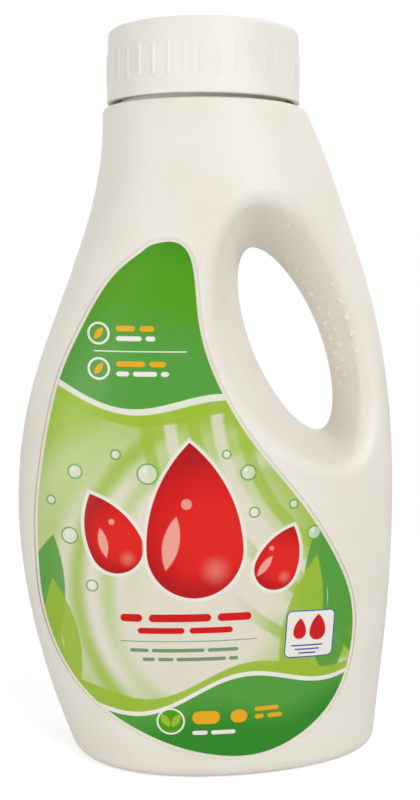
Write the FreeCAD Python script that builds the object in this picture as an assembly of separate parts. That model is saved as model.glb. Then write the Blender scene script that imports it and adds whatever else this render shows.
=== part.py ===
import FreeCAD, Part
import math
import os

# Laundry detergent bottle, in millimetres. +Z is up, the front label faces -Y and the handle is
# towards +X. The origin is under the middle of the bottle, on the surface that it stands on.

V = FreeCAD.Vector

# Bottle
SHOULDER_HEIGHT = 219.2
SHOULDER_RADIUS = 33.3
HALF_WIDTH = 64.5
HALF_DEPTH = 33.5
NECK_AXIS_X = -1.2
HANDLE_SIDE_THINNING = 0.11
SQUARENESS = 2.1
WALL = 1.2
SHOULDER_ROUND = 2.2
HEEL_ROUND = 4.6
STANDING_RING = 8.2
PUSH_UP = 4.0
PUSH_UP_SLOPE = 9.0

# The section turns from a circle at the shoulder to its own plan over this share of the height
ROUND_SHOULDER_SHARE = 0.28
SKIN_LEVELS = 12
ROUNDING_LEVELS = 5
SECTION_POINTS = 28
HOLE_FACES = 7

# Handle hole: a slanted oval at the parting line, which widens to the oval of its mouth
HOLE_X = 26.9
HOLE_HEIGHT = 142.7
HOLE_HALF_LENGTH = 33.5
HOLE_HALF_WIDTH = 11.9
HOLE_TILT = 22.5
MOUTH_X = 31.4
MOUTH_HEIGHT = 143.4
MOUTH_HALF_LENGTH = 46.5
MOUTH_HALF_WIDTH = 26.8
MOUTH_TILT = 25.5
MOUTH_DEPTH = 28.0
HOLE_SQUARENESS = 1.9
PINCH_LAND = 0.6
CREST_ROUND = 5.2

# Grip bumps on the handle's inner slopes
BUMP_RADIUS = 1.2
BUMP_HEIGHT = 0.6
BUMP_PITCH = 5.5
BUMP_INNER_SHARE = 0.20
BUMP_MIDDLE_SHARE = 0.36
BUMP_OUTER_SHARE = 0.70
BUMP_LOWEST_ANGLE = -43.0
BUMP_HIGHEST_ANGLE = 60.0

# Neck and its thread
NECK_RADIUS = 27.4
NECK_BORE = 25.0
THREAD_LEAD = 12.0
THREAD_STARTS = 2
THREAD_DEPTH = 1.6
THREAD_SINK = 0.3
THREAD_WIDTH = 2.4
THREAD_TURNS = 0.85
THREAD_RISE = 5.0
THREAD_GAP = 0.5

# Label panels
PANEL_RECESS = 0.5
LABEL_THICKNESS = 0.25
LABEL_MARGIN = 1.3

# Cap
CAP_RADIUS = 31.75
CAP_DRAFT = 0.5
CAP_HEIGHT = 23.0
CAP_GAP = 1.3
CAP_WALL = 1.8
CAP_PLATE = 1.7
CAP_ROUND = 2.0
CAP_RIM_ROUND = 0.5
RIB_COUNT = 38
RIB_RADIUS = 0.75
RIB_STAND = 0.28
RIB_RISE = 5.4
RIB_LENGTH = 10.2
CUP_RADIUS = 22.6
CUP_WALL = 1.2
CUP_DEPTH = 28.0

# Seal ring in the cap
LINER_THICKNESS = 1.1
LINER_GAP = 0.3

# Pour spout pressed into the neck
FLANGE_THICKNESS = 1.2
FLANGE_SETBACK = 0.3
SPOUT_WALL = 1.1
SPOUT_RADIUS = 15.5
SPOUT_TOP_GAP = 6.0
SPOUT_LIP_DROP = 15.0
SPOUT_FLOOR_DEPTH = 34.0
SPOUT_FLOOR_TILT = 9.0
DRAIN_WIDTH = 9.0
PRESS_GAP = 0.02

# Detergent
FILL_HEIGHT = 192.0
LIQUID_GAP = 0.3

# Heights that follow from the sizes above
CAP_RIM = SHOULDER_HEIGHT + CAP_GAP
CAP_TOP = CAP_RIM + CAP_HEIGHT
CAP_CEILING = CAP_TOP - CAP_PLATE
FLANGE_TOP = CAP_CEILING - LINER_THICKNESS
NECK_TOP = FLANGE_TOP - FLANGE_THICKNESS

# The bottle's outline from foot to shoulder: height as a share of the shoulder's, then how far the
# left and right flanks stand out between the shoulder's edge, 0, and the widest reach, 1.
OUTLINE = (
    (0.000, 0.363, 0.830),
    (0.062, 0.540, 0.866),
    (0.183, 0.803, 0.944),
    (0.384, 1.000, 1.000),
    (0.566, 0.850, 0.932),
    (0.712, 0.487, 0.738),
    (0.858, 0.123, 0.404),
    (0.931, 0.020, 0.216),
    (1.000, 0.000, 0.000),
)
# Depth of the section at its middle: height share, then share of HALF_DEPTH
DEPTH = ((0.0, 0.935), (0.18, 0.985), (0.40, 1.0), (0.80, 1.0), (1.0, SHOULDER_RADIUS / HALF_DEPTH))
# The front label's outline, from its top clockwise as seen from the front
LABEL_OUTLINE = (
    (-15.4, 175.3),
    (-7.2, 169.8),
    (-5.4, 155.0),
    (-2.0, 139.0),
    (6.0, 122.0),
    (16.0, 107.6),
    (29.0, 91.5),
    (39.7, 74.7),
    (46.6, 57.5),
    (46.4, 38.5),
    (37.8, 20.5),
    (19.0, 9.5),
    (0.0, 9.2),
    (-19.2, 15.0),
    (-41.6, 29.3),
    (-54.2, 52.0),
    (-56.8, 74.0),
    (-56.0, 96.0),
    (-50.3, 126.7),
    (-42.6, 146.1),
    (-32.2, 163.6),
    (-22.4, 172.2),
)


def through(points, parameters):
    """Smooth curve through points, each at its own parameter."""
    curve = Part.BSplineCurve()
    curve.interpolate(Points=points, Parameters=parameters)
    return curve


OUTLINE_CURVE = through([V(left, right, h) for h, left, right in OUTLINE], [row[0] for row in OUTLINE])
DEPTH_CURVE = through([V(d, 0, h) for h, d in DEPTH], [row[0] for row in DEPTH])


def power(value, exponent):
    return math.copysign(abs(value) ** exponent, value)


def oval(half_length, half_width, exponent, angle):
    """Point of an upright superellipse about the origin, at an angle from its right-hand side."""
    return V(
        half_width * power(math.cos(angle), 2 / exponent),
        0,
        half_length * power(math.sin(angle), 2 / exponent),
    )


def closed_wire(points, edges=1):
    """Smooth closed wire in equal edges, with the same spacing of its parameter in every section."""
    curve = Part.BSplineCurve()
    steps = [float(k) for k in range(len(points) + 1)]
    curve.interpolate(Points=points, PeriodicFlag=True, Parameters=steps)
    run = len(points) / edges
    return Part.Wire([curve.toShape(run * k, run * (k + 1)) for k in range(edges)])


def plan(height):
    """Left and right reach, middle half depth, thinning and squareness of the section at a height."""
    share = min(max(height / SHOULDER_HEIGHT, 0.0), 1.0)
    stand = OUTLINE_CURVE.value(share)
    shoulder_left = NECK_AXIS_X - SHOULDER_RADIUS
    shoulder_right = NECK_AXIS_X + SHOULDER_RADIUS
    left = shoulder_left + stand.x * (-HALF_WIDTH - shoulder_left)
    right = shoulder_right + stand.y * (HALF_WIDTH - shoulder_right)
    depth = HALF_DEPTH * DEPTH_CURVE.value(share).x
    towards_foot = min(1.0, (1.0 - share) / ROUND_SHOULDER_SHARE)
    return left, right, depth, HANDLE_SIDE_THINNING * towards_foot, 2 + (SQUARENESS - 2) * towards_foot


def section(height, inset, at=None):
    """Wire of the bottle's plan at a height, drawn in by inset, and placed at the height `at`."""
    left, right, depth, thinning, exponent = plan(height)
    points = []
    for k in range(SECTION_POINTS):
        angle = 2 * math.pi * k / SECTION_POINTS
        across = power(math.cos(angle), 2 / exponent)
        outward = (depth - inset) * (1 - thinning * across) * power(math.sin(angle), 2 / exponent)
        points.append(V(
            (left + right) / 2 + ((right - left) / 2 - inset) * across,
            outward,
            height if at is None else at,
        ))
    return closed_wire(points)


def front_depth(x, height):
    """How far the skin stands in front of the parting plane, or 0 outside the outline."""
    left, right, depth, thinning, exponent = plan(height)
    across = (x - (left + right) / 2) / ((right - left) / 2)
    room = max(0.0, 1 - abs(across) ** exponent)
    return depth * (1 - thinning * across) * room ** (1 / exponent)


def rounding(height, radius, inset, upwards):
    """Rim of the skin from a face at a height, rounded over to its full section a radius away."""
    wires = []
    for k in range(ROUNDING_LEVELS):
        angle = math.pi / 2 * k / (ROUNDING_LEVELS - 1)
        level = height + upwards * radius * (1 - math.cos(angle))
        wires.append(section(level, inset + radius * (1 - math.sin(angle))))
    return Part.makeLoft(wires, True, False, False, 5)


def skin(inset):
    """Solid of the bottle's outside, before the handle hole, drawn in by inset all round."""
    bottom = inset
    top = SHOULDER_HEIGHT - inset
    heel = max(HEEL_ROUND - inset, HEEL_ROUND / 4)
    shoulder = max(SHOULDER_ROUND - inset, SHOULDER_ROUND / 4)
    height = top - shoulder - bottom - heel
    levels = [bottom + heel + height * k / (SKIN_LEVELS - 1) for k in range(SKIN_LEVELS)]
    wall = Part.makeLoft([section(level, inset) for level in levels], True, False, False, 5)
    rims = [rounding(bottom, heel, inset, 1), rounding(top, shoulder, inset, -1)]
    return wall.multiFuse(rims)


def hole_point(angle, depth, outset):
    """Point on the wall of the handle hole, at a depth in front of the parting line."""
    waist = oval(HOLE_HALF_LENGTH + outset, HOLE_HALF_WIDTH + outset, HOLE_SQUARENESS, angle)
    mouth = oval(MOUTH_HALF_LENGTH + outset, MOUTH_HALF_WIDTH + outset, HOLE_SQUARENESS, angle)
    waist = turned(waist, HOLE_TILT) + V(HOLE_X, 0, HOLE_HEIGHT)
    mouth = turned(mouth, MOUTH_TILT) + V(MOUTH_X, 0, MOUTH_HEIGHT)
    share = max(0.0, depth - PINCH_LAND) / (MOUTH_DEPTH - PINCH_LAND)
    point = waist + (mouth - waist) * share
    return V(point.x, -depth, point.z)


def turned(point, degrees):
    """Tip an upright point to the left about the middle of the hole."""
    a = math.radians(degrees)
    return V(point.x * math.cos(a) - point.z * math.sin(a), 0, point.x * math.sin(a) + point.z * math.cos(a))


def hole_tool(outset):
    """The handle hole as a solid: an hourglass with a narrow straight land at the parting line."""
    reach = HALF_DEPTH + 6
    wires = []
    for depth in (PINCH_LAND, reach):
        angles = [math.pi * (1 + 2 * k / SECTION_POINTS) for k in range(SECTION_POINTS)]
        wires.append(closed_wire([hole_point(a, depth, outset) for a in angles], HOLE_FACES))
    front = Part.makeLoft(wires, True, True)
    back = front.mirror(V(0, 0, 0), V(0, 1, 0))
    land = Part.Face(wires[0]).extrude(V(0, 2 * PINCH_LAND, 0))
    return front.multiFuse([land, back]).removeSplitter()


def edges_at(shape, test):
    """Edges of a shape whose middle passes a test."""
    found = []
    for edge in shape.Edges:
        middle = edge.valueAt((edge.FirstParameter + edge.LastParameter) / 2)
        if test(middle):
            found.append(edge)
    return found


def push_up(outset):
    """Solid of the hollow under the base, inside the standing ring."""
    low = section(0, STANDING_RING - outset, at=-1.0)
    high = section(0, STANDING_RING + PUSH_UP_SLOPE - outset, at=PUSH_UP + outset)
    return Part.makeLoft([low, high], True, True)


def body(inset):
    """The bottle as a filled solid, or its hollow when drawn in by more than the wall."""
    solid = skin(inset)
    outside = Part.Compound(solid.Faces)
    solid = solid.cut(hole_tool(inset))
    crest = edges_at(
        solid,
        lambda p: abs(p.y) > 6
        and HOLE_HEIGHT - 1.7 * HOLE_HALF_LENGTH < p.z < HOLE_HEIGHT + 1.7 * HOLE_HALF_LENGTH
        and outside.distToShape(Part.Vertex(p))[0] < 0.01,
    )
    solid = solid.makeFillet(CREST_ROUND - inset, crest)
    return solid.cut(push_up(inset))


def ring(outer, inner, bottom, top):
    """Upright ring about the neck's axis."""
    foot = V(NECK_AXIS_X, 0, bottom)
    return Part.makeCylinder(outer, top - bottom, foot).cut(Part.makeCylinder(inner, top - bottom, foot))


def thread(root, crest, width, bottom, first_angle):
    """One start of a screw thread about the neck's axis, from its root radius to its crest."""
    helix = Part.makeHelix(THREAD_LEAD, THREAD_LEAD * THREAD_TURNS, root)
    outline = [
        V(root, 0, -width / 2),
        V(crest, 0, -width / 4),
        V(crest, 0, width / 4),
        V(root, 0, width / 2),
    ]
    profile = Part.makePolygon(outline + outline[:1])
    ridge = Part.Wire(helix).makePipeShell([profile], True, True)
    ridge.rotate(V(0, 0, 0), V(0, 0, 1), first_angle)
    ridge.translate(V(NECK_AXIS_X, 0, bottom))
    return ridge


def label_prism(margin):
    """Straight prism through the label's outline, grown by a margin, from the middle to the front."""
    points = [V(x, 0, z) for x, z in LABEL_OUTLINE]
    grown = []
    for k, point in enumerate(points):
        along = points[(k + 1) % len(points)] - points[k - 1]
        outward = V(-along.z, 0, along.x).normalize()
        grown.append(point + outward * margin)
    return Part.Face(closed_wire(grown)).extrude(V(0, -HALF_DEPTH - 6, 0))


def mirrored(shape):
    """The same shape on the other side of the parting plane."""
    return shape.mirror(V(0, 0, 0), V(0, 1, 0))


def bump(angle, depth):
    """Small dome on the wall of the handle hole."""
    step = 0.01
    here = hole_point(angle, depth, 0)
    along = hole_point(angle + step, depth, 0) - here
    across = hole_point(angle, depth + step, 0) - here
    outward = across.cross(along).normalize()
    radius = (BUMP_RADIUS ** 2 + BUMP_HEIGHT ** 2) / (2 * BUMP_HEIGHT)
    return Part.makeSphere(radius, here - outward * (radius - BUMP_HEIGHT))


def slope_depth(angle):
    """Depth at which the wall of the handle hole comes out through the skin."""
    low = PINCH_LAND
    high = HALF_DEPTH
    for _ in range(20):
        depth = (low + high) / 2
        point = hole_point(angle, depth, 0)
        if front_depth(point.x, point.z) > depth:
            low = depth
        else:
            high = depth
    return low


def grip_bumps():
    """Staggered rows of bumps up the handle's slope in front of the parting plane."""
    domes = []
    angle = math.radians(BUMP_LOWEST_ANGLE)
    row = 0
    while angle < math.radians(BUMP_HIGHEST_ANGLE):
        shares = (BUMP_INNER_SHARE, BUMP_OUTER_SHARE) if row % 2 else (BUMP_MIDDLE_SHARE,)
        depth = slope_depth(angle)
        domes.extend(bump(angle, share * depth) for share in shares)
        middle = BUMP_MIDDLE_SHARE * depth
        step = 0.01
        run = (hole_point(angle + step, middle, 0) - hole_point(angle, middle, 0)).Length
        angle += step * BUMP_PITCH / 2 / run
        row += 1
    return domes


def bottle():
    """Blow-moulded shell with its neck, thread, label panels and grip bumps."""
    solid = body(0)
    groove = label_prism(LABEL_MARGIN).cut(skin(PANEL_RECESS))
    solid = solid.cut(groove).cut(mirrored(groove))
    domes = grip_bumps()
    solid = solid.multiFuse(domes + [mirrored(dome) for dome in domes])
    neck_foot = V(NECK_AXIS_X, 0, SHOULDER_HEIGHT - WALL)
    neck = Part.makeCylinder(NECK_RADIUS, NECK_TOP - neck_foot.z, neck_foot)
    starts = []
    for start in range(THREAD_STARTS):
        angle = 360 * start / THREAD_STARTS
        bottom = SHOULDER_HEIGHT + THREAD_RISE
        root = NECK_RADIUS - THREAD_SINK
        starts.append(thread(root, NECK_RADIUS + THREAD_DEPTH, THREAD_WIDTH, bottom, angle))
    solid = solid.fuse(neck.multiFuse(starts))
    bore_foot = V(NECK_AXIS_X, 0, SHOULDER_HEIGHT - 2 * WALL)
    bore = Part.makeCylinder(NECK_BORE, NECK_TOP - bore_foot.z + 1, bore_foot)
    return solid.cut(body(WALL).fuse(bore))


def label():
    """Film label lying in its panel, following the bottle's curve."""
    sheet = label_prism(0).common(skin(PANEL_RECESS - LABEL_THICKNESS))
    return sheet.cut(skin(PANEL_RECESS))


def pour_spout():
    """Drain-back fitment: a collar in the neck, a sloping floor and a spout cut to a lip."""
    seat = NECK_BORE - PRESS_GAP
    floor_height = FLANGE_TOP - SPOUT_FLOOR_DEPTH
    slope = math.tan(math.radians(SPOUT_FLOOR_TILT)) * seat
    foot = floor_height - slope - SPOUT_WALL
    collar = ring(seat, seat - SPOUT_WALL, foot, FLANGE_TOP)
    flange = ring(NECK_RADIUS - FLANGE_SETBACK, seat - SPOUT_WALL, NECK_TOP, FLANGE_TOP)
    axis_foot = V(NECK_AXIS_X, 0, foot)
    spout_top = FLANGE_TOP - SPOUT_TOP_GAP
    tube = Part.makeCylinder(SPOUT_RADIUS + SPOUT_WALL, spout_top - foot, axis_foot)
    span = 4 * seat
    slab = Part.makeBox(span, span, SPOUT_WALL, V(-span / 2, -span / 2, -SPOUT_WALL))
    below = Part.makeBox(span, span, span, V(-span / 2, -span / 2, -SPOUT_WALL - span))
    for tilted in (slab, below):
        tilted.rotate(V(0, 0, 0), V(0, 1, 0), SPOUT_FLOOR_TILT)
        tilted.translate(V(NECK_AXIS_X, 0, floor_height))
    floor = slab.common(Part.makeCylinder(seat - SPOUT_WALL / 2, NECK_TOP - foot, axis_foot))
    lip_tilt = math.degrees(math.atan2(SPOUT_LIP_DROP, 2 * (SPOUT_RADIUS + SPOUT_WALL)))
    above = Part.makeBox(span, span, span, V(-span / 2, -span / 2, 0))
    above.rotate(V(0, 0, 0), V(0, 1, 0), lip_tilt)
    above.translate(V(NECK_AXIS_X, 0, spout_top - SPOUT_LIP_DROP / 2))
    spout = tube.cut(above)
    solid = collar.multiFuse([flange, floor, spout]).cut(below)
    bore = Part.makeCylinder(SPOUT_RADIUS, spout_top - foot, axis_foot)
    drain_foot = V(NECK_AXIS_X + SPOUT_RADIUS / 2, -DRAIN_WIDTH / 2, foot)
    drain = Part.makeBox(SPOUT_RADIUS / 2 + 2 * SPOUT_WALL, DRAIN_WIDTH, spout_top - foot, drain_foot)
    drain = drain.cut(slab)
    return solid.cut(bore).cut(drain).removeSplitter()


def cap():
    """Dosing cap: ribbed skirt with its thread inside, top plate and measuring-cup wall."""
    foot = V(NECK_AXIS_X, 0, CAP_RIM)
    top_radius = CAP_RADIUS - CAP_DRAFT
    outside = Part.makeCone(CAP_RADIUS, top_radius, CAP_HEIGHT, foot)
    top_edge = [e for e in outside.Edges if e.BoundBox.ZMin > CAP_TOP - 0.01]
    outside = outside.makeFillet(CAP_ROUND, top_edge)
    rim_edge = [e for e in outside.Edges if e.BoundBox.ZMax < CAP_RIM + 0.01]
    outside = outside.makeFillet(CAP_RIM_ROUND, rim_edge)
    ceiling_share = (CAP_CEILING - CAP_RIM) / CAP_HEIGHT
    ceiling_radius = CAP_RADIUS - CAP_DRAFT * ceiling_share - CAP_WALL
    inside = Part.makeCone(CAP_RADIUS - CAP_WALL, ceiling_radius, CAP_CEILING - CAP_RIM, foot)
    ribs = []
    for k in range(RIB_COUNT):
        ribs.extend(rib(360 * k / RIB_COUNT))
    solid = outside.multiFuse(ribs).cut(inside)
    cup = ring(CUP_RADIUS, CUP_RADIUS - CUP_WALL, CAP_CEILING - CUP_DEPTH, CAP_CEILING + CAP_PLATE / 2)
    pitch = THREAD_LEAD / THREAD_STARTS
    width = pitch - THREAD_WIDTH - 2 * THREAD_GAP
    starts = []
    for start in range(THREAD_STARTS):
        angle = 360 * start / THREAD_STARTS
        bottom = SHOULDER_HEIGHT + THREAD_RISE + pitch / 2
        starts.append(thread(CAP_RADIUS - CAP_WALL / 2, NECK_RADIUS + THREAD_GAP, width, bottom, angle))
    return solid.multiFuse([cup] + starts)


def rib(angle):
    """One raised line on the cap, a bar with rounded ends leaning in with the cap's draft."""
    ends = []
    for rise in (RIB_RISE + RIB_RADIUS, RIB_RISE + RIB_LENGTH - RIB_RADIUS):
        radius = CAP_RADIUS - CAP_DRAFT * rise / CAP_HEIGHT + RIB_STAND - RIB_RADIUS
        ends.append(V(radius, 0, rise))
    bar = Part.makeCylinder(RIB_RADIUS, (ends[1] - ends[0]).Length, ends[0], ends[1] - ends[0])
    pieces = [bar, Part.makeSphere(RIB_RADIUS, ends[0]), Part.makeSphere(RIB_RADIUS, ends[1])]
    for piece in pieces:
        piece.rotate(V(0, 0, 0), V(0, 0, 1), angle)
        piece.translate(V(NECK_AXIS_X, 0, CAP_RIM))
    return pieces


def cap_liner():
    """Foam ring between the cap's ceiling and the spout's flange."""
    ceiling_radius = CAP_RADIUS - CAP_DRAFT - CAP_WALL
    return ring(ceiling_radius - LINER_GAP, CUP_RADIUS + LINER_GAP, FLANGE_TOP, CAP_CEILING)


def liquid_detergent():
    """The filling, a hair clear of the shell, up to its fill line."""
    room = body(WALL + LIQUID_GAP)
    span = 4 * HALF_WIDTH
    return room.cut(Part.makeBox(span, span, SHOULDER_HEIGHT, V(-span / 2, -span / 2, FILL_HEIGHT)))


os.makedirs("parts", exist_ok=True)
front_label = label()
pieces = {
    "bottle": bottle(),
    "front_label": front_label,
    "back_label": mirrored(front_label),
    "pour_spout": pour_spout(),
    "cap": cap(),
    "cap_liner": cap_liner(),
    "liquid_detergent": liquid_detergent(),
}
for name, shape in pieces.items():
    shape.exportStep("parts/" + name + ".step")
    print(name, len(shape.Solids), shape.isValid(), round(shape.Volume), len(shape.Faces))
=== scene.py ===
import math

import bpy
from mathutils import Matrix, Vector


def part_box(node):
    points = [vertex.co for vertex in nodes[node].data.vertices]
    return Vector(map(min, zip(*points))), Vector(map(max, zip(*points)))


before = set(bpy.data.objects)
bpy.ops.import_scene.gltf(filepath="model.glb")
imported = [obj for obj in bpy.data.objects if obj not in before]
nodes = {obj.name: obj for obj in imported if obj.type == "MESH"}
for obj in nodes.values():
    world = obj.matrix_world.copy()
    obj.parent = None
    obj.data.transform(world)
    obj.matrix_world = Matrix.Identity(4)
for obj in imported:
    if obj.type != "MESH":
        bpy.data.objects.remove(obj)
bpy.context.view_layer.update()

# Camera
# A close view from a little above the bottle's middle, looking slightly down. The bottle is turned
# about four degrees, so that a little more of its left flank shows.

CAMERA_PLACE = Vector((-0.02593, -0.38421, 0.1713))
CAMERA_AIM = Vector((0.06938, 0.98952, -0.12666))
CAMERA_FOCAL_LENGTH = 51.03
CAMERA_SENSOR_HEIGHT = 36.0

camera_lens = bpy.data.cameras.new("camera")
camera_lens.sensor_fit = "VERTICAL"
camera_lens.sensor_height = CAMERA_SENSOR_HEIGHT
camera_lens.lens = CAMERA_FOCAL_LENGTH
camera_lens.clip_start = 0.01
camera = bpy.data.objects.new("camera", camera_lens)
camera.location = CAMERA_PLACE
camera.rotation_euler = CAMERA_AIM.to_track_quat("-Z", "Y").to_euler()
bpy.context.scene.collection.objects.link(camera)
bpy.context.scene.camera = camera
bpy.context.scene.view_settings.view_transform = "Standard"

# Studio lamps
# A large soft box in front and to the right, a weaker one to the left and one overhead, as for a
# pack shot: the right side of the bottle is bright and the left flank falls off to grey.

LAMP_TARGET = Vector((0, 0, 0.12))


def soft_box(name, place, width, height, power):
    """Rectangular lamp that faces the bottle."""
    light = bpy.data.lights.new(name, "AREA")
    light.shape = "RECTANGLE"
    light.size = width
    light.size_y = height
    light.energy = power
    box = bpy.data.objects.new(name, light)
    box.location = place
    box.rotation_euler = (LAMP_TARGET - Vector(place)).to_track_quat("-Z", "Y").to_euler()
    bpy.context.scene.collection.objects.link(box)


soft_box("key_box", (0.50, -0.85, 0.60), 0.6, 0.7, 4.8)
soft_box("fill_box", (-0.80, -0.50, 0.10), 0.6, 0.2, 2.35)
soft_box("top_box", (0.3, 0.1, 1.0), 0.8, 0.6, 1.8)

# Backdrop and floor
# A white sweep. It looks white to the camera and in reflections, lights the bottle more softly than
# that, and keeps the bottle's shadow where it stands.


class Value:
    """A number, colour or vector among a material's nodes, with the arithmetic that it needs."""

    def __init__(self, owner, socket):
        self.owner = owner
        self.socket = socket

    def maths(self, operation, first, second=0.0):
        return self.owner.add("Math", {"operation": operation}, {0: first, 1: second})

    def __add__(self, other):
        return self.maths("ADD", self, other)

    __radd__ = __add__

    def __sub__(self, other):
        return self.maths("SUBTRACT", self, other)

    def __rsub__(self, other):
        return self.maths("SUBTRACT", other, self)

    def __mul__(self, other):
        return self.maths("MULTIPLY", self, other)

    __rmul__ = __mul__

    def __neg__(self):
        return self * -1.0

    def __abs__(self):
        return self.maths("ABSOLUTE", self)

    def root(self):
        return self.maths("SQRT", self)

    def sine(self):
        return self.maths("SINE", self)

    def at_least(self, other):
        return self.maths("MAXIMUM", self, other)

    def at_most(self, other):
        return self.maths("MINIMUM", self, other)


class Finish:
    """The nodes of one material or backdrop."""

    def __init__(self, owner):
        owner.use_nodes = True
        self.tree = owner.node_tree
        self.tree.nodes.clear()
        self.owner = owner

    def add(self, kind, settings=None, values=None, output=0):
        """Any node: its type, its settings, and the values or links of its sockets."""
        node = self.tree.nodes.new("ShaderNode" + kind)
        for name, setting in (settings or {}).items():
            setattr(node, name, setting)
        for socket, value in (values or {}).items():
            if isinstance(value, Value):
                self.tree.links.new(value.socket, node.inputs[socket])
            else:
                node.inputs[socket].default_value = value
        return Value(self, node.outputs[output])

    def colours(self, share, first, second):
        """The first colour where the share is 0 and the second where it is 1."""
        return self.add("Mix", {"data_type": "RGBA"}, {0: share, 6: first, 7: second}, output=2)

    def ramp(self, value, low, high):
        """A smooth rise from 0 at low to 1 at high."""
        settings = {"interpolation_type": "SMOOTHSTEP"}
        return self.add("MapRange", settings, {"Value": value, "From Min": low, "From Max": high})

    def output(self, kind, shader):
        """Send a shader to the material's or the world's output."""
        end = self.tree.nodes.new("ShaderNodeOutput" + kind)
        self.tree.links.new(shader.socket, end.inputs["Surface"])
        return self.owner


def paint(red, green, blue):
    """Scene colour from the 0 to 255 values of a paint chart."""
    shares = [channel / 255 for channel in (red, green, blue)]
    linear = [s / 12.92 if s <= 0.04045 else ((s + 0.055) / 1.055) ** 2.4 for s in shares]
    return (*linear, 1.0)


WHITE = (1.0, 1.0, 1.0, 1.0)
SKY_LIGHT = 0.40
FLOOR_SIZE = 6.0
FLOOR_GLOW = 0.56
SHADOW_REACH = 0.07
SHADOW_END = 0.34

world = bpy.data.worlds.new("studio")
bpy.context.scene.world = world
sky = Finish(world)
camera_ray = sky.add("LightPath", output="Is Camera Ray")
mirror_ray = sky.add("LightPath", output="Is Glossy Ray")
through_ray = sky.add("LightPath", output="Is Transmission Ray")
seen = camera_ray.at_least(mirror_ray).at_least(through_ray)
soft_sky = sky.add("Background", None, {"Color": WHITE, "Strength": SKY_LIGHT})
white_sky = sky.add("Background", None, {"Color": WHITE, "Strength": 1.0})
sky.output("World", sky.add("MixShader", None, {0: seen, 1: soft_sky, 2: white_sky}))

bpy.ops.mesh.primitive_plane_add(size=FLOOR_SIZE)
floor = bpy.context.object
floor.name = "floor"
sweep = Finish(bpy.data.materials.new("floor_paint"))
place = sweep.add("TexCoord", output="Object")
distance = sweep.add("VectorMath", {"operation": "LENGTH"}, {0: place}, output="Value")
looked_at = sweep.add("LightPath", output="Is Camera Ray")
matt = sweep.add("BsdfDiffuse", None, {"Color": paint(232, 232, 232)})
glow = sweep.add("Emission", None, {"Color": WHITE, "Strength": FLOOR_GLOW})
lifted = sweep.add("AddShader", None, {0: matt, 1: glow})
white_floor = sweep.add("Emission", None, {"Color": WHITE, "Strength": 1.0})
far_off = sweep.ramp(distance, SHADOW_REACH, SHADOW_END)
faded = sweep.add("MixShader", None, {0: far_off, 1: lifted, 2: white_floor})
ground = sweep.add("MixShader", None, {0: looked_at, 1: matt, 2: faded})
floor.data.materials.append(sweep.output("Material", ground))

# Bottle
# One blow-moulded shell of white polyethylene with a little pearl in it. Its skin is satin, faintly
# uneven, with a fine parting line where the two halves of the mould met.

PARTING_LINE_WIDTH = 0.00035


def dress(name, finish, shader):
    """Give a piece its finished material."""
    slots = nodes[name].data.materials
    slots.clear()
    slots.append(finish.output("Material", shader))


shell = Finish(bpy.data.materials.new("bottle_shell_plastic"))
place = shell.add("TexCoord", output="Object")
along = shell.add("SeparateXYZ", None, {0: place}, output="Y")
cloud = shell.add("TexNoise", None, {"Vector": place, "Scale": 38.0, "Detail": 4.0})
speck = shell.add("TexNoise", None, {"Vector": place, "Scale": 900.0, "Detail": 2.0})
waviness = shell.add("TexNoise", None, {"Vector": place, "Scale": 60.0, "Detail": 1.0})
base = shell.colours(shell.ramp(cloud, 0.35, 0.65), paint(240, 234, 221), paint(244, 239, 228))
base = shell.colours(shell.ramp(speck, 0.55, 0.8) * 0.25, base, paint(230, 224, 212))
line = 1 - shell.ramp(abs(along), 0.2 * PARTING_LINE_WIDTH, PARTING_LINE_WIDTH)
height = waviness * 0.5 + speck * 0.06 + line * 0.35
relief = shell.add("Bump", None, {"Strength": 0.35, "Distance": 0.0004, "Height": height})
satin = shell.add("BsdfPrincipled", None, {
    "Base Color": base,
    "Roughness": 0.36 + cloud * 0.12,
    "IOR": 1.5,
    "Normal": relief,
})
dress("bottle", shell, satin)

# Pour spout
# A moulded white fitment pressed into the neck. Its plastic is smoother and a touch cooler than the
# shell's.

spout = Finish(bpy.data.materials.new("spout_plastic_white"))
place = spout.add("TexCoord", output="Object")
flow = spout.add("TexNoise", None, {"Vector": place, "Scale": 140.0, "Detail": 3.0})
grain = spout.add("TexNoise", None, {"Vector": place, "Scale": 1500.0, "Detail": 1.0})
base = spout.colours(flow, paint(232, 233, 230), paint(241, 241, 238))
relief = spout.add("Bump", None, {"Strength": 0.2, "Distance": 0.0002, "Height": grain})
satin = spout.add("BsdfPrincipled", None, {
    "Base Color": base,
    "Roughness": 0.3 + flow * 0.1,
    "Normal": relief,
})
dress("pour_spout", spout, satin)

# Cap
# A moulded dosing cap, ribbed round its middle. It is a touch smoother and cooler than the bottle,
# with the small stub of its moulding gate in the middle of the top and a sink ring over the cup wall.

CAP_AXIS_X = (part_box("cap")[0].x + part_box("cap")[1].x) / 2
CAP_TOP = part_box("cap")[1].z
GATE_RADIUS = 0.0016
CUP_RING_RADIUS = 0.0220
CUP_RING_WIDTH = 0.0016

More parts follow.
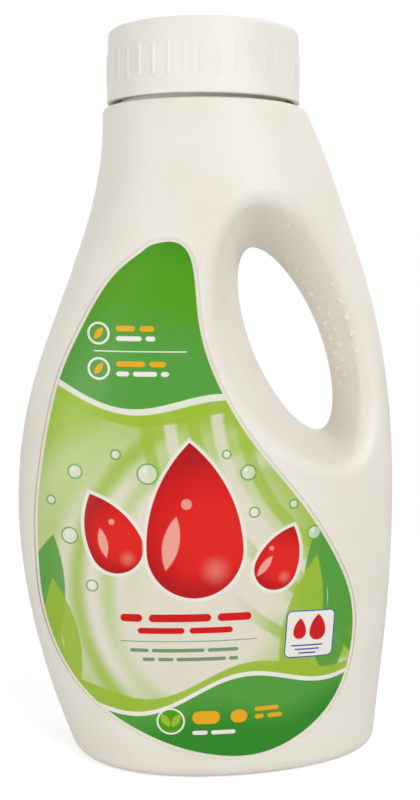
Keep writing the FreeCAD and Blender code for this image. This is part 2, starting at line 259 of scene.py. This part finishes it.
closure = Finish(bpy.data.materials.new("cap_plastic_white"))
place = closure.add("TexCoord", output="Object")
top_middle = (CAP_AXIS_X, 0, CAP_TOP)
centred = closure.add("VectorMath", {"operation": "SUBTRACT"}, {0: place, 1: top_middle})
x = closure.add("SeparateXYZ", None, {0: centred}, output="X")
y = closure.add("SeparateXYZ", None, {0: centred}, output="Y")
z = closure.add("SeparateXYZ", None, {0: centred}, output="Z")
radius = (x * x + y * y).root()
on_top = closure.ramp(z, -0.0006, -0.0002)
gate = (1 - closure.ramp(radius, 0.7 * GATE_RADIUS, GATE_RADIUS)) * on_top
sink = (1 - closure.ramp(abs(radius - CUP_RING_RADIUS), 0.0, CUP_RING_WIDTH)) * on_top
flow = closure.add("TexNoise", None, {"Vector": place, "Scale": 45.0, "Detail": 3.0})
grain = closure.add("TexNoise", None, {"Vector": place, "Scale": 1100.0, "Detail": 2.0})
base = closure.colours(closure.ramp(flow, 0.35, 0.65), paint(240, 236, 226), paint(245, 242, 234))
base = closure.colours(gate * 0.5, base, paint(214, 210, 200))
height = grain * 0.05 + gate * 0.6 - sink * 0.25
relief = closure.add("Bump", None, {"Strength": 0.4, "Distance": 0.0004, "Height": height})
satin = closure.add("BsdfPrincipled", None, {
    "Base Color": base,
    "Roughness": 0.4 + flow * 0.1,
    "Normal": relief,
})
dress("cap", closure, satin)

# Cap liner
# A thin ring of closed-cell foam in the cap's ceiling, which seals on the spout's flange.

liner = Finish(bpy.data.materials.new("liner_foam_white"))
place = liner.add("TexCoord", output="Object")
cells = liner.add("TexVoronoi", None, {"Vector": place, "Scale": 1400.0})
tint = liner.add("TexNoise", None, {"Vector": place, "Scale": 200.0, "Detail": 2.0})
base = liner.colours(tint, paint(226, 226, 222), paint(238, 238, 235))
relief = liner.add("Bump", None, {"Strength": 0.6, "Distance": 0.0002, "Height": cells})
foam = liner.add("BsdfPrincipled", None, {
    "Base Color": base,
    "Roughness": 0.75 + tint * 0.2,
    "Normal": relief,
})
dress("cap_liner", liner, foam)

# Liquid detergent
# A thick blue gel that fills the shell up to its fill line, with a few trapped bubbles.

gel = Finish(bpy.data.materials.new("detergent_gel"))
place = gel.add("TexCoord", output="Object")
swirl = gel.add("TexNoise", None, {"Vector": place, "Scale": 25.0, "Detail": 3.0})
bubbles = gel.add("TexVoronoi", None, {"Vector": place, "Scale": 260.0})
bubble = 1 - gel.ramp(bubbles, 0.12, 0.2)
base = gel.colours(swirl, paint(60, 110, 190), paint(90, 145, 215))
base = gel.colours(bubble * 0.5, base, paint(190, 215, 240))
relief = gel.add("Bump", None, {"Strength": 0.3, "Distance": 0.0005, "Height": bubble})
wet = gel.add("BsdfPrincipled", None, {
    "Base Color": base,
    "Roughness": 0.08 + swirl * 0.05,
    "Normal": relief,
})
dress("liquid_detergent", gel, wet)

# Front label
# A printed film in the bottle's front panel: leaf green at the top and foot, a cream middle that
# turns green outwards, large red drops, and small bubbles, leaves and bars.


class Print:
    """A label's artwork, in millimetres across and up the label. Each shape is how far a point lies
    outside it, so less than nothing is inside."""

    EDGE = 0.12
    MILLIMETRES = 1000.0

    def __init__(self, film, facing):
        self.film = film
        self.place = film.add("TexCoord", output="Object")
        across = film.add("SeparateXYZ", None, {0: self.place}, output="X")
        up = film.add("SeparateXYZ", None, {0: self.place}, output="Z")
        self.x = across * (self.MILLIMETRES * facing)
        self.z = up * self.MILLIMETRES
        self.flat = film.add("CombineXYZ", None, {0: self.x, 1: self.z})
        self.colour = None

    def inked(self, shape, ink, strength=1.0, edge=EDGE, within=None):
        """Print one colour inside a shape."""
        settings = {"interpolation_type": "SMOOTHSTEP"}
        fade = {"Value": shape, "From Min": -edge, "From Max": edge, "To Min": strength, "To Max": 0.0}
        cover = self.film.add("MapRange", settings, fade)
        if within:
            cover = cover * (1 - self.film.ramp(within, -self.EDGE, self.EDGE))
        self.colour = self.film.colours(cover, self.colour, ink)

    def vectors(self, operation, first, second=(0, 0, 0), output=0):
        return self.film.add("VectorMath", {"operation": operation}, {0: first, 1: second}, output)

    def local(self, x, z, degrees):
        """Places across and up a shape that stands at x, z and is turned by an angle."""
        values = {"Vector": self.flat, "Location": (x, z, 0), "Rotation": (0, 0, math.radians(degrees))}
        return self.film.add("Mapping", {"vector_type": "TEXTURE"}, values)

    def round(self, flat, x, z, radius):
        return self.vectors("DISTANCE", flat, (x, z, 0), output="Value") - radius

    def disc(self, x, z, radius):
        return self.round(self.flat, x, z, radius)

    def hoop(self, x, z, radius, width):
        return abs(self.disc(x, z, radius)) - width / 2

    def panel(self, x, z, width, height, corner, degrees=0):
        """Rectangle with round corners, about its middle."""
        folded = self.vectors("ABSOLUTE", self.local(x, z, degrees))
        beyond = self.vectors("SUBTRACT", folded, (width / 2 - corner, height / 2 - corner, 0))
        return self.round(self.vectors("MAXIMUM", beyond), 0, 0, corner)

    def bar(self, x, z, length, thickness, degrees=0):
        """Bar with round ends, about its middle."""
        return self.panel(x, z, length, thickness, thickness / 2, degrees)

    def bars(self, left, z, lengths, height, ink):
        """Short bars in a row, from the left, with even gaps."""
        for length in lengths:
            self.inked(self.bar(left + length / 2, z, length, height), ink)
            left += length + 0.8 * height

    def lens(self, x, z, length, width, degrees):
        """Leaf shape: the overlap of two discs, pointed at both ends."""
        flat = self.local(x, z, degrees)
        radius = (length * length + width * width) / (4 * width)
        shift = radius - width / 2
        return self.round(flat, -shift, 0, radius).at_least(self.round(flat, shift, 0, radius))

    def drop(self, x, z, radius, reach, degrees):
        """Round drop with its point up, a disc whose upper half runs out to a tip."""
        flat = self.local(x, z, degrees)
        flank = (reach * reach + radius * radius) / (2 * radius)
        shift = flank - radius
        left = self.round(flat, -shift, 0, flank)
        right = self.round(flat, shift, 0, flank)
        below = self.vectors("DOT_PRODUCT", flat, (0, -1, 0), output="Value")
        return self.round(flat, 0, 0, radius).at_most(left.at_least(right).at_least(below))

    def wave(self, level, slope, swing, length, shift):
        """Everything above a rolling line."""
        line = self.x * slope + (self.x * (2 * math.pi / length) + shift).sine() * swing
        return line + level - self.z


GREEN_MOSS = paint(40, 134, 12)
GREEN_DEEP = paint(84, 160, 4)
GREEN_LEAF = paint(86, 162, 62)
GREEN_GROUND = paint(44, 140, 34)
GREEN_SOFT = paint(190, 212, 132)
GREEN_PALE = paint(214, 222, 176)
LIME = paint(160, 196, 52)
GREY_GREEN = paint(120, 158, 104)
CREAM = paint(236, 229, 212)
RED = paint(216, 14, 14)
RED_BRIGHT = paint(238, 34, 26)
RED_DEEP = paint(160, 6, 14)
PINK = paint(250, 176, 160)
ORANGE = paint(244, 176, 22)
BLUE = paint(62, 92, 160)
WHITE_INK = paint(246, 244, 236)


def label_finish(name, artwork):
    """Printed film: the artwork's colour, a fine print grain and a satin varnish."""
    film = artwork.film
    dots = film.add("TexNoise", None, {"Vector": artwork.place, "Scale": 2600.0, "Detail": 1.0})
    ripple = film.add("TexNoise", None, {"Vector": artwork.place, "Scale": 45.0, "Detail": 2.0})
    dark = film.add("HueSaturation", None, {"Color": artwork.colour, "Value": 0.93})
    ink = film.colours(film.ramp(dots, 0.35, 0.65) * 0.6, artwork.colour, dark)
    height = ripple * 0.6 + dots * 0.04
    relief = film.add("Bump", None, {"Strength": 0.3, "Distance": 0.0003, "Height": height})
    varnish = film.add("BsdfPrincipled", None, {
        "Base Color": ink,
        "Roughness": 0.3 + ripple * 0.1,
        "Specular IOR Level": 0.25,
        "Normal": relief,
    })
    dress(name, film, varnish)


front = Print(Finish(bpy.data.materials.new("front_label_print")), 1)
front.colour = CREAM

# Green that deepens towards the label's edge, soft ripples over it, and a cream glow round the drops
front.inked(-front.disc(-14, 66, 38), GREEN_SOFT, 0.85, 8.0)
front.inked(-front.disc(-20, 66, 52), LIME, 0.9, 8.0)
for radius, ink in ((70, GREEN_SOFT), (60, LIME), (50, GREEN_SOFT), (41, GREEN_PALE)):
    front.inked(front.hoop(16, 66, radius, 5.0), ink, 0.8, 2.2)
for radius, ink in ((62, LIME), (69.5, CREAM), (77, LIME), (84.5, CREAM), (92, LIME)):
    front.inked(front.hoop(70, 128, radius, 3.8), ink, 0.75, 0.8)
front.inked(front.disc(-7, 80, 19), CREAM, 1.0, 7.0)
front.inked(front.disc(-8, 52, 22), CREAM, 1.0, 7.0)

# Long leaves that rise from the foot up both sides, each with a pale rib
for x, z, length, width, degrees, ink in (
    (47, 62, 62, 22, 14, GREEN_DEEP), (38, 60, 60, 17, 2, GREEN_LEAF), (29, 50, 50, 13, -12, LIME),
    (-56, 56, 52, 15, -10, GREEN_LEAF), (-49, 45, 44, 12, 8, LIME),
):
    leaf = front.lens(x, z, length, width, degrees)
    front.inked(leaf, ink, 0.92, 0.25)
    front.inked(front.bar(x, z, 0.35, length, degrees), WHITE_INK, 0.55, 0.15, leaf)

# Head of the label: rolling hills of green
front.inked(front.wave(119.5, -0.10, 4.0, 74, 0.6), LIME, 0.95, 0.4)
front.inked(front.wave(122.5, -0.13, 4.4, 72, 0.9), WHITE_INK, 0.85, 0.25)
front.inked(front.wave(124.3, -0.14, 4.6, 71, 1.0), GREEN_LEAF)
front.inked(front.wave(141, -0.25, 6.0, 80, 2.6), GREEN_DEEP, 0.95, 10.0)
front.inked(front.wave(168, -0.20, 4.0, 60, 3.4), GREEN_MOSS, 0.9, 12.0)

# Foot of the label: a green hill with a white line along its top
front.inked(-front.wave(35, 0.12, 4.0, 62, 0.4), LIME, 0.95, 0.3)
front.inked(-front.wave(31.5, 0.14, 4.2, 64, 0.7), WHITE_INK)
front.inked(-front.wave(30, 0.14, 4.2, 64, 0.7), GREEN_LEAF)
front.inked(-front.wave(22, 0.10, 3.0, 50, 1.9), GREEN_GROUND, 0.95, 6.0)

# Three red drops with a pale gleam in each, the middle one the largest
for x, z, radius, reach, degrees in (
    (-31, 79, 8.5, 19, 26), (20, 71, 7.0, 15, -24), (-6, 78, 15.5, 35, 3),
):
    drop = front.drop(x, z, radius, reach, degrees)
    front.inked(drop - 1.1, WHITE_INK, 0.9, 0.5)
    front.inked(drop, RED)
    lit = front.disc(x + 0.35 * radius, z + 0.3 * radius, 0.9 * radius)
    front.inked(lit, RED_BRIGHT, 0.8, 0.5 * radius, drop)
    shaded = -front.disc(x + 0.2 * radius, z + 0.5 * radius, 1.25 * radius)
    front.inked(shaded, RED_DEEP, 0.6, 0.3 * radius, drop)
    slant = degrees - 14
    gleam = front.lens(x - 0.50 * radius, z + 0.16 * radius, 1.15 * radius, 0.34 * radius, slant)
    front.inked(gleam, PINK, 0.9, 0.3)
    front.inked(front.disc(x - 0.18 * radius, z + 0.98 * radius, 0.11 * radius), PINK, 0.8, 0.25)
    front.inked(front.disc(x + 0.42 * radius, z - 0.42 * radius, 0.2 * radius), PINK, 0.35, 0.2 * radius)

# Bubbles round the drops
for x, z, radius in (
    (-21, 103, 3.2), (11, 103, 2.4), (-44, 103, 2.2), (33, 82, 2.2), (-46, 82, 2.6),
    (-39, 66, 1.8), (13, 90, 1.6), (4, 109, 1.3), (-31, 109, 1.5), (26, 92, 1.4), (-52, 93, 1.4),
):
    front.inked(front.disc(x, z, radius), WHITE_INK, 0.55, 0.4)
    front.inked(front.hoop(x, z, radius, 0.5), GREEN_LEAF, 0.85, 0.15)
    front.inked(front.disc(x - 0.3 * radius, z + 0.35 * radius, 0.22 * radius), WHITE_INK)

# Two leaf badges on the head, each with two rows of bars, and a fine line between them
for z, first, second in ((147.0, (6, 4.5), (8, 3)), (136.0, (9, 5), (4, 7.5, 2.5))):
    front.inked(front.hoop(-36, z, 3.2, 0.7), WHITE_INK)
    front.inked(front.lens(-36, z, 4.4, 2.0, -38), ORANGE)
    front.bars(-30.5, z + 1.6, first, 1.7, ORANGE)
    front.bars(-30.5, z - 1.5, second, 1.5, WHITE_INK)
front.inked(front.bar(-23, 141.5, 29, 0.35), WHITE_INK)

# Rows of bars under the drops, red over grey-green
front.bars(-30, 56.0, (7, 20, 11), 2.6, RED)
front.bars(-24.5, 51.8, (15, 14), 2.0, RED)
front.inked(front.bar(-8, 48.2, 44, 0.3), GREY_GREEN)
front.bars(-27, 45.2, (6, 17, 10), 1.2, GREY_GREEN)
front.bars(-23, 42.2, (4, 5, 16, 3), 1.2, GREY_GREEN)

# A small white card with two drops and a few blue bars
front.inked(front.panel(32, 48, 17, 16, 2.0, -4), BLUE)
front.inked(front.panel(32, 48, 16.2, 15.2, 1.6, -4), WHITE_INK)
front.inked(front.drop(28.4, 48.8, 2.2, 4.8, -4), RED)
front.inked(front.drop(34.6, 48.4, 2.8, 6.0, -4), RED)
for row in range(3):
    front.inked(front.bar(31.0, 44.2 - 1.3 * row, 11.0 - 2.5 * row, 0.5, -4), BLUE)

# A sprig badge and orange bars on the foot
front.inked(front.disc(-14, 21.0, 4.6), WHITE_INK)
front.inked(front.disc(-14, 21.0, 4.0), GREEN_DEEP)
front.inked(front.lens(-15.7, 21.3, 5.2, 2.4, 32), LIME)
front.inked(front.lens(-12.3, 21.3, 5.2, 2.4, -32), LIME)
front.bars(-7, 22.2, (9, 5.5), 4.4, ORANGE)
front.bars(-7, 17.0, (5, 8), 1.4, WHITE_INK)
front.bars(13.5, 24.2, (8,), 1.5, ORANGE)
front.bars(13.5, 21.6, (3, 5), 1.5, ORANGE)
label_finish("front_label", front)

# Back label
# The same film on the back, plainly printed: a green head and foot, rows of fine bars, and a grid
# of tiles with drops.

back = Print(Finish(bpy.data.materials.new("back_label_print")), -1)
back.colour = WHITE_INK
back.inked(back.wave(141, 0.12, 3.6, 80, 0.0), LIME, 0.95, 0.3)
back.inked(back.wave(144, 0.14, 3.8, 78, 0.3), GREEN_LEAF)
back.inked(back.wave(158, 0.2, 4.0, 70, 1.0), GREEN_DEEP, 0.8, 8.0)
back.inked(-back.wave(27, -0.08, 3.0, 70, 0.0), LIME, 0.95, 0.3)
back.inked(-back.wave(24, -0.08, 3.0, 70, 0.2), GREEN_LEAF)

# Three blocks of bars, each a broad row over four fine ones
FINE_ROWS = ((0.12, 0.3, 0.2, 0.3), (0.26, 0.1, 0.34, 0.12), (0.2, 0.36, 0.3), (0.3, 0.08, 0.24, 0.1))
for top, left, width in ((128, 5, 38), (109, -7, 54), (90, -21, 70)):
    back.bars(left, top, (0.22 * width, 0.36 * width), 2.0, GREEN_LEAF)
    for row, shares in enumerate(FINE_ROWS):
        lengths = [share * width for share in shares]
        back.bars(left, top - 3.6 - 2.3 * row, lengths, 0.8, GREY_GREEN)

# Grid of dosing tiles, each with its own number of drops
for column in range(3):
    for row in range(2):
        x = -20 + 22 * column
        z = 65 - 15 * row
        back.inked(back.panel(x, z, 19, 12.5, 1.6), GREEN_LEAF)
        back.inked(back.panel(x, z, 18.2, 11.7, 1.3), WHITE_INK)
        for count in range(column + 1):
            middle = x + 4.6 * (count - column / 2)
            back.inked(back.drop(middle, z - 0.8, 1.2 + 0.5 * row, 3.2 + row, 0), RED)
label_finish("back_label", back)
